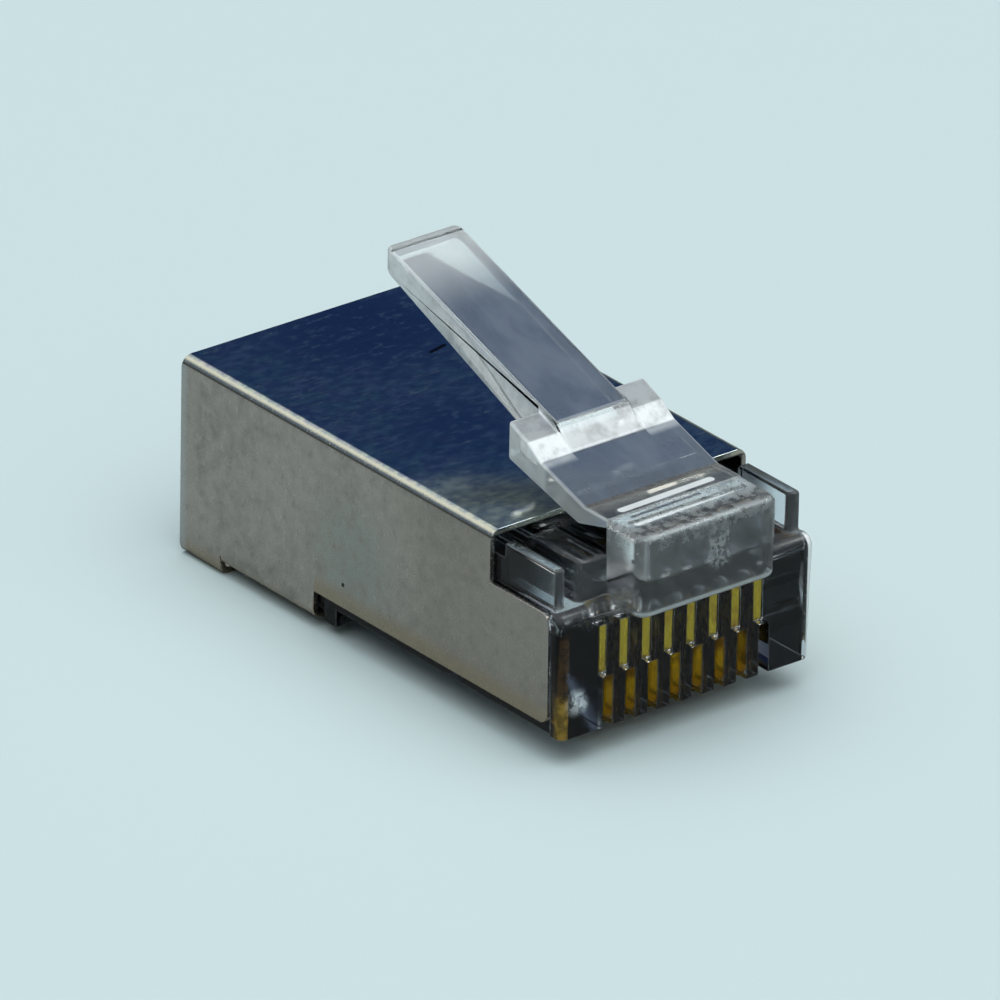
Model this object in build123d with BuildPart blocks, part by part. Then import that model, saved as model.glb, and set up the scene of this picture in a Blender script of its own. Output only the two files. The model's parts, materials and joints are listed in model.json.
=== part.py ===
from build123d import *
import os

# Shielded eight-way ethernet plug, new and not yet crimped to a cable.
# The nose points along -Y, the latch is on top (+Z), and the shield's collar stands on Z = 0.
# Lengths along the plug are distances forward of the shield's rear edge.

# Shield, one folded piece of plated sheet steel
sheet = 0.25
shield_width = 11.7
shield_height = 7.9
fold_radius = 0.45
roof_length = 18.0
cheek_reach = 3.36
cheek_top = 5.88
cheek_bottom = 1.56
cheek_corner = 0.4
skirt_length = 7.9
collar_length = 2.4
flap_rise = 0.4
relief_width = 0.35
relief_height = 0.12
seam_gap = 0.3

# Housing, a clear moulding that fills the shield
fit = 0.02
body_rear = 0.6
heel_length = 8.9
toe_gap = 0.35
nose_lip = 0.62
nose_bottom = 1.1
nose_draft = 0.15
nose_edge = 0.3
ledge_height = 6.0
ledge_edge = 0.5
rib_top = 7.55
rib_set_back = 0.5
rib_edge = 0.12
rib_corner = 0.2
block_thickness = 0.53
groove_width = 0.5
seat_floor = 7.0
seat_overlap = 1.2
channel_floor = 6.4
channel_clearance = 0.05

# Root block, which carries the latch above the nose
root_width = 6.3
root_overhang = 1.2
root_length = 2.0
root_top = 8.78
root_bottom = 5.55
root_corner = 0.5
root_edge = 0.3
root_groove = 0.12
root_groove_at = 0.6

# Cable cavity, wire channels and strain relief inside the housing
entry_width = 9.6
entry_height = 6.2
entry_corner = 1.2
entry_centre = 4.3
cavity_length = 8.6
throat_at = 13.0
throat_height = 1.3
throat_corner = 0.4
lead_in = 0.35
wire_diameter = 0.9
wire_height = 5.0
wire_stop_gap = 0.2
pawl_width = 5.0
pawl_rear = 3.7
pawl_front = 7.0
pawl_slot = 0.35
pawl_height = 1.9
pawl_web = 0.3
bar_width = 8.6
bar_rear = 10.6
bar_front = 13.6
bar_pocket = 1.1
bar_thickness = 0.8

# Contacts, eight gold-plated blades that pierce the wires
contact_count = 8
contact_pitch = 1.02
contact_thickness = 0.4
contact_clearance = 0.025
front_wall = 0.8
contact_length = 4.6
contact_bottom = 0.6
contact_back = 3.55
contact_post = 0.55
contact_top = 4.95
contact_corner = 0.5
tooth_count = 3
tooth_height = 0.9
tooth_base = 0.62
slot_mouth = 3.1

# Latch, moulded with the housing and bending at a thin web behind the root block
hinge_gap = 0.03
web_thickness = 0.35
arm_width = 6.15
arm_flat = 1.4
arm_run = 2.47
arm_rise = 0.78
knee_back = 0.3
knee_depth = 0.8
head_length = 1.85
shoulder_ramp = 0.73
shoulder_rise = 0.48
shoulder_rear_rise = 0.93
head_drop = 0.56
tail_width = 3.3
tail_ramp = 0.93
tail_foot_rise = 0.8
tail_run = 10.1
tail_rise = 3.3
tip_thickness = 1.0
tip_corner = 0.5
tip_edge = 0.3

# Places along the plug that follow from the lengths above
cheek_length = roof_length + cheek_reach
lip_rear = cheek_length + fit
nose_length = lip_rear + nose_lip
rib_rear = roof_length + rib_set_back
seat_rear = roof_length - seat_overlap
root_front = nose_length + root_overhang
root_rear = root_front - root_length
contact_front = nose_length - front_wall
contact_rear = contact_front - contact_length
wire_stop = contact_front - contact_post - wire_stop_gap
rear_y = root_front / 2
side = Plane(origin=(0, rear_y, 0), x_dir=(0, -1, 0), z_dir=(-1, 0, 0))


def across(forward):
    """Plane across the plug, seen from the nose, at a distance forward of the rear edge."""
    return Plane(origin=(0, rear_y - forward, 0), x_dir=(1, 0, 0), z_dir=(0, -1, 0))


def level(height):
    """Horizontal plane whose first axis runs forward from the rear edge."""
    return Plane(origin=(0, rear_y, height), x_dir=(0, -1, 0), z_dir=(0, 0, 1))


def sheet_ring(bottom):
    """Closed section of the folded sheet, from the given bottom up to the roof."""
    tall = shield_height - bottom
    with Locations((0, bottom + tall / 2)):
        RectangleRounded(shield_width, tall, fold_radius)
        RectangleRounded(shield_width - 2 * sheet, tall - 2 * sheet, fold_radius - sheet, mode=Mode.SUBTRACT)


# Shield: two rings of sheet, trimmed to the outline of the blank seen from the side
with BuildPart() as shield:
    with BuildSketch(across(0)):
        sheet_ring(0)
    extrude(amount=collar_length)
    with BuildSketch(across(collar_length)):
        sheet_ring(flap_rise)
    extrude(amount=cheek_length - collar_length)
    relief_top = flap_rise + relief_height
    relief_front = collar_length + relief_width
    with BuildSketch(side) as blank:
        with BuildLine():
            Polyline(
                (0, 0), (collar_length, 0), (collar_length, relief_top), (relief_front, relief_top),
                (relief_front, flap_rise), (skirt_length, flap_rise), (skirt_length, cheek_bottom),
                (cheek_length, cheek_bottom), (cheek_length, cheek_top), (roof_length, cheek_top),
                (roof_length, shield_height), (0, shield_height), close=True,
            )
        make_face()
        front_corners = blank.vertices().group_by(Axis.X)[-1]
        fillet(front_corners, radius=cheek_corner)
    extrude(amount=shield_width / 2, both=True, mode=Mode.INTERSECT)
    # The flaps meet at a seam under the heel
    with BuildSketch(level(0)):
        with Locations((skirt_length / 2, 0)):
            Rectangle(skirt_length, seam_gap)
    extrude(amount=flap_rise + sheet, mode=Mode.SUBTRACT)
    # A window in the flaps leaves the strain relief free
    with BuildSketch(level(flap_rise)):
        with Locations(((pawl_rear + pawl_front) / 2, 0)):
            RectangleRounded(pawl_front - pawl_rear + pawl_slot, pawl_width + 2 * pawl_slot, pawl_slot)
    extrude(amount=sheet, mode=Mode.SUBTRACT)
shield.part.label = "shield"

# Places that the housing takes from the shield
body_width = shield_width - 2 * (sheet + fit)
body_bottom = flap_rise + sheet + fit
body_top = shield_height - sheet - fit
groove_outer = body_width / 2 - block_thickness
slot_width = contact_thickness + 2 * contact_clearance
slot_top = contact_top + contact_clearance
first_contact = -contact_pitch * (contact_count - 1) / 2
contact_places = [first_contact + contact_pitch * i for i in range(contact_count)]
bay_width = contact_pitch * (contact_count - 1) + wire_diameter
channel_width = root_width + 2 * channel_clearance

# Housing: side profile, wider lip at the nose, root block on top, then the hollows
with BuildPart() as housing:
    with BuildSketch(side) as profile:
        with BuildLine():
            Polyline(
                (body_rear, body_bottom), (heel_length, body_bottom), (heel_length, nose_bottom),
                (nose_length, nose_bottom), (nose_length, ledge_height), (cheek_length, ledge_height),
                (cheek_length, rib_top), (rib_rear, rib_top), (rib_rear, seat_floor), (seat_rear, seat_floor),
                (seat_rear, body_top), (body_rear, body_top), close=True,
            )
        make_face()
    extrude(amount=body_width / 2, both=True)
    # The long corners follow the folds of the sheet around it
    with BuildSketch(across(0)):
        with Locations((0, (body_bottom + body_top) / 2)):
            RectangleRounded(body_width, body_top - body_bottom, fold_radius - sheet + fit)
    extrude(amount=nose_length, mode=Mode.INTERSECT)
    # In front of the flaps the heel steps down to their level
    toe_rear = skirt_length + toe_gap
    with BuildSketch(side):
        with Locations(((toe_rear + heel_length) / 2, (flap_rise + nose_bottom) / 2)):
            Rectangle(heel_length - toe_rear, nose_bottom - flap_rise)
    extrude(amount=body_width / 2, both=True)
    with BuildSketch(across(lip_rear)):
        with BuildLine():
            Polyline(
                (-shield_width / 2, ledge_height), (shield_width / 2, ledge_height),
                (shield_width / 2 - nose_draft, nose_bottom), (nose_draft - shield_width / 2, nose_bottom), close=True,
            )
        make_face()
    extrude(amount=nose_length - lip_rear)
    nose_face = housing.faces().filter_by(Axis.Y).sort_by(Axis.Y)[0]
    fillet(nose_face.edges().filter_by(Axis.X).sort_by(Axis.Z)[-1:], radius=ledge_edge)
    nose_face = housing.faces().filter_by(Axis.Y).sort_by(Axis.Y)[0]
    nose_sides = nose_face.edges().group_by(Axis.X)
    fillet(nose_sides[0] + nose_sides[-1], radius=nose_edge)

    # Ribs beside the latch, split by a groove each side
    with BuildSketch(across(rib_rear)):
        with Locations((0, (ledge_height + rib_top) / 2)):
            with GridLocations(2 * groove_outer - groove_width, 0, 2, 1):
                Rectangle(groove_width, rib_top - ledge_height)
    extrude(amount=cheek_length - rib_rear, mode=Mode.SUBTRACT)

    # Channel that the latch dips into
    with BuildSketch(across(seat_rear)):
        with Locations((0, (channel_floor + rib_top) / 2)):
            Rectangle(channel_width, rib_top - channel_floor)
    extrude(amount=cheek_length - seat_rear, mode=Mode.SUBTRACT)
    rib_corners = housing.edges().filter_by(Axis.Z).filter_by_position(Axis.Y, rear_y - cheek_length, rear_y - cheek_length)
    rib_corners = rib_corners.sort_by(Axis.X)
    fillet(rib_corners[1:3] + rib_corners[-3:-1], radius=rib_corner)
    rib_edges = housing.edges().filter_by(Axis.Y).filter_by_position(Axis.Z, rib_top - rib_edge, rib_top + rib_edge)
    fillet(rib_edges.sort_by(Axis.X)[1:-1], radius=rib_edge)

    # Root block with rounded front corners and a shallow groove across its top
    with BuildSketch(level(root_bottom)) as root_plan:
        with Locations(((root_rear + root_front) / 2, 0)):
            Rectangle(root_front - root_rear, root_width)
        fillet(root_plan.vertices().group_by(Axis.X)[-1], radius=root_corner)
    extrude(amount=root_top - root_bottom)
    root_face = housing.faces().filter_by(Axis.Y).sort_by(Axis.Y)[0]
    fillet(root_face.edges().filter_by(Axis.X), radius=root_edge)
    with BuildSketch(side):
        with Locations((root_rear + root_groove_at, root_top)):
            Circle(root_groove)
    extrude(amount=root_width / 2 - root_corner, both=True, mode=Mode.SUBTRACT)

    # Cable cavity, then a throat that gathers the wires into one row
    with BuildSketch(across(body_rear)):
        with Locations((0, entry_centre)):
            RectangleRounded(entry_width, entry_height, entry_corner)
    extrude(amount=cavity_length - body_rear, mode=Mode.SUBTRACT)
    with BuildSketch(across(body_rear)):
        with Locations((0, entry_centre)):
            RectangleRounded(entry_width + 2 * lead_in, entry_height + 2 * lead_in, entry_corner + lead_in)
    with BuildSketch(across(body_rear + lead_in)):
        with Locations((0, entry_centre)):
            RectangleRounded(entry_width, entry_height, entry_corner)
    loft(mode=Mode.SUBTRACT)
    with BuildSketch(across(cavity_length)):
        with Locations((0, entry_centre)):
            RectangleRounded(entry_width, entry_height, entry_corner)
    with BuildSketch(across(throat_at)):
        with Locations((0, wire_height)):
            RectangleRounded(bay_width, throat_height, throat_corner)
    loft(mode=Mode.SUBTRACT)
    with BuildSketch(across(throat_at)):
        with Locations((0, wire_height)):
            with GridLocations(contact_pitch, 0, contact_count, 1):
                Circle(wire_diameter / 2)
    extrude(amount=wire_stop - throat_at, mode=Mode.SUBTRACT)

    # Strain relief: a wedge in a window of the floor, held by a thin web at its front
    with BuildSketch(level(body_bottom)):
        with Locations(((pawl_rear + pawl_front) / 2, 0)):
            Rectangle(pawl_front - pawl_rear, pawl_width)
    extrude(amount=entry_centre - body_bottom, mode=Mode.SUBTRACT)
    with BuildSketch(side):
        with BuildLine():
            Polyline(
                (pawl_rear + pawl_slot, body_bottom + pawl_web), (pawl_front, body_bottom),
                (pawl_front, body_bottom + pawl_web), (pawl_front - pawl_slot, body_bottom + pawl_web),
                (pawl_front - 2 * pawl_slot, pawl_height), (pawl_rear + 2 * pawl_slot, pawl_height), close=True,
            )
        make_face()
    extrude(amount=pawl_width / 2 - pawl_slot, both=True)

    # Pocket under the wires with the bar that clamps them
    with BuildSketch(level(nose_bottom)):
        with Locations(((bar_rear + bar_front) / 2, 0)):
            Rectangle(bar_front - bar_rear, bar_width)
            Rectangle(bar_thickness, bar_width, mode=Mode.SUBTRACT)
    extrude(amount=bar_pocket, mode=Mode.SUBTRACT)

    # Contact slots, closed in front above their mouths
    with BuildSketch(level(nose_bottom)):
        with Locations(((contact_rear + contact_front) / 2, 0)):
            with GridLocations(0, contact_pitch, 1, contact_count):
                Rectangle(contact_front - contact_rear + 2 * contact_clearance, slot_width)
    extrude(amount=slot_top - nose_bottom, mode=Mode.SUBTRACT)
    with BuildSketch(across(contact_front)):
        with Locations((0, (nose_bottom + slot_mouth) / 2)):
            with GridLocations(contact_pitch, 0, contact_count, 1):
                Rectangle(slot_width, slot_mouth - nose_bottom)
    extrude(amount=nose_length - contact_front, mode=Mode.SUBTRACT)
housing.part.label = "housing"

# Places that the latch takes from the root block
web_front = root_rear - hinge_gap
flat_rear = root_rear - arm_flat
foot_at = flat_rear - arm_run
foot_height = root_top + arm_rise
head_rear = foot_at - head_length
tail_foot = foot_at - tail_ramp
tail_foot_height = foot_height + tail_foot_rise
tip_at = tail_foot - tail_run
tip_height = tail_foot_height + tail_rise

# Latch: the tail trimmed to its rounded plan, then arm and locking head in one profile
with BuildPart() as latch:
    with BuildSketch(side) as tail_side:
        with BuildLine():
            Polyline(
                (foot_at, foot_height), (tail_foot, tail_foot_height), (tip_at, tip_height),
                (tip_at, tip_height - tip_thickness), (head_rear, foot_height - head_drop), close=True,
            )
        make_face()
        fillet(tail_side.vertices().group_by(Axis.X)[0], radius=tip_edge)
    extrude(amount=tail_width / 2, both=True)
    with BuildSketch(level(root_top)) as tail_plan:
        with Locations(((tip_at + foot_at) / 2, 0)):
            Rectangle(foot_at - tip_at, tail_width)
        fillet(tail_plan.vertices().group_by(Axis.X)[0], radius=tip_corner)
    extrude(amount=tip_height - root_top, mode=Mode.INTERSECT)
    with BuildSketch(side):
        with BuildLine():
            Polyline(
                (web_front, root_top), (flat_rear, root_top), (foot_at, foot_height),
                (foot_at - shoulder_ramp, foot_height + shoulder_rise),
                (head_rear, foot_height + shoulder_rear_rise), (head_rear, foot_height - head_drop),
                (flat_rear - knee_back, root_top - knee_depth), (web_front, root_top - web_thickness), close=True,
            )
        make_face()
    extrude(amount=arm_width / 2, both=True)
latch.part.label = "latch"


def contact(place):
    """One blade, rounded below where the jack's spring slides on; its teeth point at the wire."""
    pitch = (contact_front - contact_post - contact_rear) / tooth_count
    teeth = []
    for i in range(tooth_count):
        middle = contact_front - contact_post - pitch * (i + 0.5)
        teeth.append((middle + tooth_base / 2, contact_back))
        teeth.append((middle, contact_back + tooth_height))
        teeth.append((middle - tooth_base / 2, contact_back))
    with BuildPart() as blade:
        with BuildSketch(side.offset(-place)) as outline:
            with BuildLine():
                Polyline(
                    (contact_rear, contact_bottom), (contact_front, contact_bottom), (contact_front, contact_top),
                    (contact_front - contact_post, contact_top), (contact_front - contact_post, contact_back),
                    *teeth, (contact_rear, contact_back), close=True,
                )
            make_face()
            fillet(outline.vertices().group_by(Axis.Y)[0], radius=contact_corner)
        extrude(amount=contact_thickness / 2, both=True)
    return blade.part


os.makedirs("parts", exist_ok=True)
export_step(shield.part, "parts/shield.step")
export_step(housing.part, "parts/housing.step")
export_step(latch.part, "parts/latch.step")
for i, place in enumerate(contact_places):
    blade = contact(place)
    blade.label = f"contact_{i + 1}"
    export_step(blade, f"parts/{blade.label}.step")
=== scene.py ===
# %% [markdown]
# # A clear network plug in its folded metal shell
#
# The plug has four kinds of piece: a folded shell of plated sheet, a clear moulded housing,
# the latch that is moulded with it, and eight gold-plated blades inside the nose.
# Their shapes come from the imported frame, at real size. This script gives them their edges
# and finishes, and sets up the floor, the light and the camera.

# %% Load the frame
import json
import math

import bmesh
import bpy
from mathutils import Matrix, Vector
from mathutils.bvhtree import BVHTree

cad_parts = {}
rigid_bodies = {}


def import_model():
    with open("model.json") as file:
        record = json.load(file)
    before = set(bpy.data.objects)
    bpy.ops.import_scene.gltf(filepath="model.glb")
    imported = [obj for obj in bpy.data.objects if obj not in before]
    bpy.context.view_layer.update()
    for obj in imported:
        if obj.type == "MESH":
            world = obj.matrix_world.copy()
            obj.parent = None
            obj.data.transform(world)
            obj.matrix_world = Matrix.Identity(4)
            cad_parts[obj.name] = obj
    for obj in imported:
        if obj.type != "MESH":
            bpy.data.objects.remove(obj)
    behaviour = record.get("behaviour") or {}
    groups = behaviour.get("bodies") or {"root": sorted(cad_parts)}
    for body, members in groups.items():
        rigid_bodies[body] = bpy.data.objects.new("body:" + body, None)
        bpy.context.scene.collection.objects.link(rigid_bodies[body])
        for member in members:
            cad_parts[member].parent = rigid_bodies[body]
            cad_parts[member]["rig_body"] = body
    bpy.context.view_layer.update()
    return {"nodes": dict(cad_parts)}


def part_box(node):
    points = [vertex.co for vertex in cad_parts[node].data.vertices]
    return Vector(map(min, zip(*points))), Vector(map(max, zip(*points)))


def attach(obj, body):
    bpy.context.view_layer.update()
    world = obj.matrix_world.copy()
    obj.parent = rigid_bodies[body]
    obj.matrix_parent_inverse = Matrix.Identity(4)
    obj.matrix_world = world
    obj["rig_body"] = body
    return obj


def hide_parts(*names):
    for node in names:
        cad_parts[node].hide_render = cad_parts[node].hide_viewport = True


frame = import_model()
MM = 0.001
print("nodes:", sorted(frame["nodes"]))

# %% [markdown]
# ## The camera
#
# A long lens from far away keeps parallel edges nearly parallel, as in a product photograph.
# An orthographic camera would do nearly the same, but a long lens keeps the slight narrowing
# towards the back. The camera's turn, height and roll are angles round a target near the
# shell's middle, because angles are easier to fit to a photograph than a position is.

# %% Place the camera
TURN = math.radians(-38.847)
HEIGHT = math.radians(25.868)
ROLL = math.radians(1.064)
DISTANCE = 648.36 * MM
LENS = 648.0
SENSOR = 36.0
NEAREST_SEEN = 0.01
FARTHEST_SEEN = 10.0
AIM = Vector((0.0, 1.4, 4.0)) * MM
AIM_RIGHT = 0.668 * MM
AIM_UP = 0.373 * MM

back = Vector((math.sin(TURN) * math.cos(HEIGHT), -math.cos(TURN) * math.cos(HEIGHT), math.sin(HEIGHT)))
right = Vector((math.cos(TURN), math.sin(TURN), 0.0))
up = back.cross(right)
right_rolled = math.cos(ROLL) * right + math.sin(ROLL) * up
up_rolled = math.cos(ROLL) * up - math.sin(ROLL) * right

camera_data = bpy.data.cameras.new("camera")
camera_data.lens = LENS
camera_data.sensor_width = SENSOR
camera_data.clip_start = NEAREST_SEEN
camera_data.clip_end = FARTHEST_SEEN
camera = bpy.data.objects.new("camera", camera_data)
bpy.context.scene.collection.objects.link(camera)
camera_place = AIM + back * DISTANCE + right_rolled * AIM_RIGHT + up_rolled * AIM_UP
camera_turn = Matrix((right_rolled, up_rolled, back)).transposed()
camera.matrix_world = Matrix.Translation(camera_place) @ camera_turn.to_4x4()
bpy.context.scene.camera = camera
print("camera at", [round(c, 3) for c in camera_place])

# %% [markdown]
# ## Shader arithmetic
#
# A finish is easier to read as a sum of masks than as a web of nodes. `Wire` stands for a value
# on its way through the tree: adding or multiplying wires adds Math nodes. Nodes could also be
# placed by hand in the editor, but a sum in a script can be read, changed and used again.

# %% Numbers on wires
class Wire:
    """A number that varies over a surface. Arithmetic on it adds Math nodes."""

    def __init__(self, shading, socket):
        self.shading = shading
        self.socket = socket

    def math(self, operation, first, second=None):
        values = {0: first} if second is None else {0: first, 1: second}
        return self.shading.node("Math", {"operation": operation}, values)

    def __add__(self, other):
        return self.math("ADD", self, other)

    def __radd__(self, other):
        return self.math("ADD", other, self)

    def __sub__(self, other):
        return self.math("SUBTRACT", self, other)

    def __rsub__(self, other):
        return self.math("SUBTRACT", other, self)

    def __mul__(self, other):
        return self.math("MULTIPLY", self, other)

    def __rmul__(self, other):
        return self.math("MULTIPLY", other, self)

    def __truediv__(self, other):
        return self.math("DIVIDE", self, other)

    def __neg__(self):
        return self.math("MULTIPLY", self, -1.0)

    def __pow__(self, other):
        return self.math("POWER", self, other)

    def size(self):
        return self.math("ABSOLUTE", self)

    def most(self, other):
        return self.math("MAXIMUM", self, other)

    def least(self, other):
        return self.math("MINIMUM", self, other)


print("wires can be added, subtracted, multiplied, divided and raised")

# %% [markdown]
# ## A tree of shader nodes
#
# Materials and the world are both trees of nodes, so one class builds either. Each node comes
# from one method, which sets the node's settings first and its sockets after, because some
# settings change which sockets a node has.

# %% Trees of nodes
class Shading:
    """A tree of shader nodes that is built from scratch."""

    def __init__(self, tree):
        self.tree = tree
        self.tree.nodes.clear()

    def node(self, kind, settings, values, output=0):
        """Adds a node: its settings first, then the values or links of its sockets."""
        made = self.tree.nodes.new("ShaderNode" + kind)
        for name, setting in settings.items():
            if name == "stops":
                self.set_stops(made.color_ramp, setting)
            else:
                setattr(made, name, setting)
        for name, value in values.items():
            socket = self.find(made.inputs, name)
            if isinstance(value, Wire):
                self.tree.links.new(value.socket, socket)
            else:
                socket.default_value = value
        return Wire(self, self.find(made.outputs, output)) if made.outputs else None

    @staticmethod
    def find(sockets, name):
        """A socket by its place, its identifier or its name."""
        if isinstance(name, int):
            return sockets[name]
        known = [s for s in sockets if s.identifier == name] or [s for s in sockets if s.name == name]
        return known[0]

    @staticmethod
    def set_stops(ramp, stops):
        while len(ramp.elements) > 1:
            ramp.elements.remove(ramp.elements[-1])
        ramp.elements[0].position, ramp.elements[0].color = stops[0]
        for place, colour in stops[1:]:
            ramp.elements.new(place).color = colour

    def part(self, vector, axis):
        return self.node("SeparateXYZ", {}, {0: vector}, axis)

    def blend(self, factor, first, second):
        """Colours mixed by a factor."""
        values = {"Factor_Float": factor, "A_Color": first, "B_Color": second}
        return self.node("Mix", {"data_type": "RGBA", "blend_type": "MIX"}, values, "Result_Color")

    def layered(self, colour, layers):
        """A colour with others laid over it, each by a mask of its own."""
        for mask, layer in layers:
            colour = self.blend(mask, colour, layer)
        return colour


print("trees of nodes ready")

# %% [markdown]
# ## Masks, noises and marks
#
# Every finish here is made of a few kinds of mask: a soft step at a height or a depth, a noise
# with a step on it, a round spot and a straight stroke. They could be painted by hand on an
# unwrapped piece, but the point's own place in millimetres needs no unwrapping and stays sharp.

# %% A finish and its masks
STROKE_CORE = 0.4
STROKE_RIM = 0.7


class Finish(Shading):
    """One material. Lengths in its patterns are in millimetres."""

    def __init__(self, name):
        self.material = bpy.data.materials.new(name)
        self.material.use_nodes = True
        super().__init__(self.material.node_tree)
        self.places = {}

    def place(self, stretch=(1.0, 1.0, 1.0)):
        """The point on the object in millimetres, stretched along its axes."""
        if stretch not in self.places:
            where = self.node("TexCoord", {}, {}, "Object")
            values = {"Vector": where, "Scale": [s / MM for s in stretch]}
            self.places[stretch] = self.node("Mapping", {"vector_type": "POINT"}, values)
        return self.places[stretch]

    def axes(self):
        """How far right, back and up the point lies."""
        return [self.part(self.place(), axis) for axis in "XYZ"]

    def noise(self, per_mm, detail=3.0, roughness=0.55, offset=0.0, stretch=(1.0, 1.0, 1.0)):
        """Soft noise from 0 to 1; offset moves to another part of the pattern."""
        vector = self.place(stretch)
        if offset:
            vector = self.node("VectorMath", {"operation": "ADD"}, {0: vector, 1: (offset, offset, offset)})
        values = {"Vector": vector, "Scale": per_mm, "Detail": detail, "Roughness": roughness}
        return self.node("TexNoise", {"noise_dimensions": "3D"}, values, "Fac")

    def fade(self, value, low, high):
        """A smooth step from 0 at low to 1 at high."""
        limits = {"Value": value, "From Min": low, "From Max": high, "To Min": 0.0, "To Max": 1.0}
        return self.node("MapRange", {"interpolation_type": "SMOOTHSTEP", "clamp": True}, limits)

    def below(self, value, low, high):
        """A smooth step from 1 at low to 0 at high."""
        return 1.0 - self.fade(value, low, high)

    def band(self, value, rise, fall):
        """1 between two smooth steps, each given by its low and high limit."""
        return self.fade(value, *rise) * self.below(value, *fall)

    def spot(self, centre, radius, soft):
        """1 within a radius of a point on the piece, fading to 0 over a soft rim."""
        values = {0: self.place(), 1: centre}
        away = self.node("VectorMath", {"operation": "DISTANCE"}, values, "Value")
        return self.below(away, radius, radius + soft)

    def stroke(self, start, end, width):
        """1 along a straight mark between two points of the piece."""
        run = Vector(end) - Vector(start)
        offset = self.node("VectorMath", {"operation": "SUBTRACT"}, {0: self.place(), 1: start})
        along = self.node("VectorMath", {"operation": "DOT_PRODUCT"}, {0: offset, 1: run}, "Value")
        along = (along / run.length_squared).most(0.0).least(1.0)
        nearest = self.node("VectorMath", {"operation": "SCALE"}, {0: run, "Scale": along})
        away = self.node("VectorMath", {"operation": "DISTANCE"}, {0: offset, 1: nearest}, "Value")
        return self.below(away, width * STROKE_CORE, width * STROKE_RIM)

    def bump(self, height, distance, strength, normal=None):
        """Relief from a height of 0 to 1, where 1 stands distance millimetres out."""
        values = {"Height": height, "Distance": distance * MM, "Strength": strength}
        if normal is not None:
            values["Normal"] = normal
        return self.node("Bump", {}, values)

    def principled(self, **values):
        """The Principled shader with its sockets by name, words joined by underscores."""
        named = {name.replace("_", " "): value for name, value in values.items()}
        return self.node("BsdfPrincipled", {}, named)

    def surface(self, shader):
        """Ends the material with a shader."""
        self.node("OutputMaterial", {}, {"Surface": shader})
        return self.material


def grey(level, tint=(1.0, 1.0, 1.0)):
    return (level * tint[0], level * tint[1], level * tint[2], 1.0)


print("masks, noises and marks ready")

# %% [markdown]
# ## The shell's plating
#
# Nickel on a rolled and folded sheet is a warm mid grey that isn't quite a mirror. Slow noise
# makes its clouds and faster noise its mottles. Noise that is stretched along the plug makes
# the grain, and noise that is stretched across it makes the streaks and scratches.
# A flat grey metal would be simpler, but it looks like a drawing and not like sheet.

# %% Patterns of rolled sheet
ROOF = 7.9
HALF_WIDTH = 5.85
REAR = 11.6
SHEET = 0.25
FLAP_END = 3.7
CHEEK_BOTTOM = 1.56


def sheet_patterns(finish):
    """The noises that the cheeks and the roof share."""
    fleck = finish.noise(per_mm=6.5, roughness=0.6, offset=21.0, stretch=(1.0, 1.0, 0.6))
    scratch = finish.noise(per_mm=3.2, detail=2.0, roughness=0.5, offset=41.0, stretch=(0.25, 3.0, 3.0))
    streak = finish.noise(per_mm=1.1, detail=4.0, roughness=0.6, offset=33.0, stretch=(0.25, 2.2, 1.0))
    return {
        "cloud": finish.noise(per_mm=0.22),
        "mottle": finish.noise(per_mm=1.7, detail=5.0, roughness=0.65, offset=7.0),
        "hue": finish.noise(per_mm=1.1, detail=5.0, roughness=0.65, offset=71.0),
        "blotch": finish.noise(per_mm=2.3, roughness=0.6, offset=83.0, stretch=(0.7, 1.2, 1.0)),
        "grain": finish.noise(per_mm=8.0, detail=4.0, roughness=0.7, offset=3.0, stretch=(1.0, 0.2, 1.0)),
        "flecks": finish.fade(fleck, 0.58, 0.72),
        "streaks": streak,
        "scratches": finish.fade(scratch, 0.67, 0.71),
        "waves": finish.noise(per_mm=0.16, detail=2.0, roughness=0.5, offset=60.0),
    }


print("sheet", SHEET, "mm thick, roof at", ROOF, "mm")

# %% [markdown]
# ## The shell's cheeks
#
# The two sides mirror the floor beside the plug, so they show the sheet's own warm grey with
# pale and dark mottles and small flecks. They have painted shade towards the nose, for the
# shadowed floor mirrored there, are straw yellow along the lower edge, and have a pale, cool
# painted highlight at the rear edge. Each of these could be a material of its own, but then it
# would end in a hard line, so each is a colour laid over the last by a soft mask.

# %% Colours of the cheeks
CHEEK_SHADE = grey(0.52, (1.02, 1.0, 0.95))
CHEEK_LIGHT = grey(0.64, (1.0, 0.99, 0.94))
PALE_MOTTLE = grey(0.72, (1.0, 0.98, 0.93))
DARK_MOTTLE = grey(0.40, (1.0, 1.0, 0.96))
PALE_FLECK = grey(0.95, (1.0, 1.0, 0.96))
# Painted shade towards the nose, for the shadowed floor that the cheeks mirror there.
PAINTED_SHADE_FRONT = (0.40, 0.38, 0.34, 1.0)
BLUISH_PATCH = (0.42, 0.54, 0.54, 1.0)
STRAW_EDGE = (0.54, 0.46, 0.32, 1.0)
# Painted highlight along the rear edge.
PAINTED_REAR_HIGHLIGHT = (0.72, 0.80, 0.84, 1.0)
BLUISH_PLACE = ((-HALF_WIDTH, 1.4, 3.6), 0.6, 3.2)
COLLAR_STEP = (FLAP_END - 0.1, FLAP_END + 0.1)
LOW_EDGE = (0.25, 1.0)
REAR_EDGE = (REAR - 0.5, REAR - 0.15)


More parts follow.
